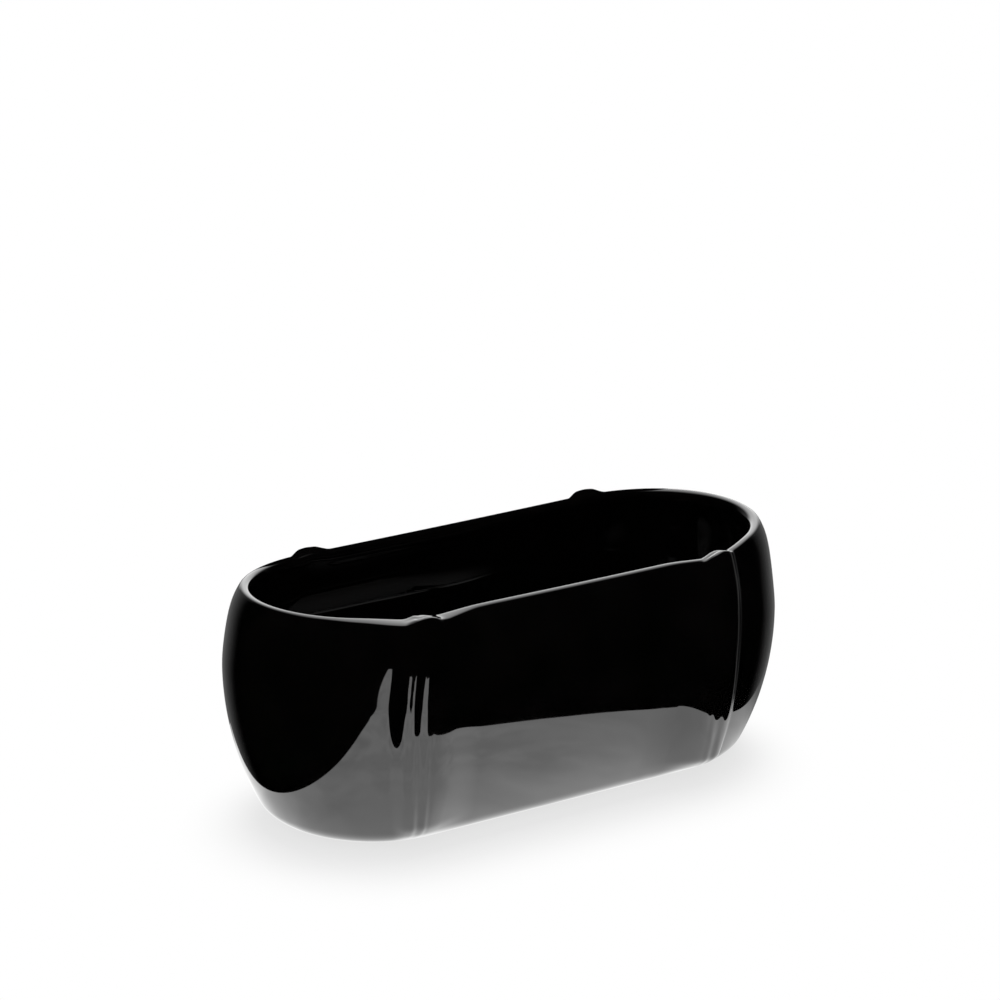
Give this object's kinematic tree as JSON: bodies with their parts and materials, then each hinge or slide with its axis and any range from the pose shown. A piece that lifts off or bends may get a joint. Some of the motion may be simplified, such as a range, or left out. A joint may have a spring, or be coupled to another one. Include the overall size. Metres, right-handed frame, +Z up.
{
  "type": "oval ceramic planter",
  "caption": "Oval barrel-sided planter of black glazed ceramic with upright ribs ending in knobs at its rounded rim, open at the top, standing on soft pads under a foot ring.",
  "frame": {"origin": "middle of the pot on the surface it stands on", "axes": "+X along the length, +Z up, front at -Y"},
  "size_m": [0.26, 0.14, 0.1035],
  "materials": {
    "glazed_body": "black gloss glaze, fired",
    "pads": "matt"
  },
  "bodies": {
    "root": {"shell": "glazed_body", "rib_front_left": "glazed_body", "rib_front_right": "glazed_body", "rib_back_left": "glazed_body", "rib_back_right": "glazed_body", "pad_front_left": "pads", "pad_front_right": "pads", "pad_back_left": "pads", "pad_back_right": "pads"}
  },
  "joints": []
}
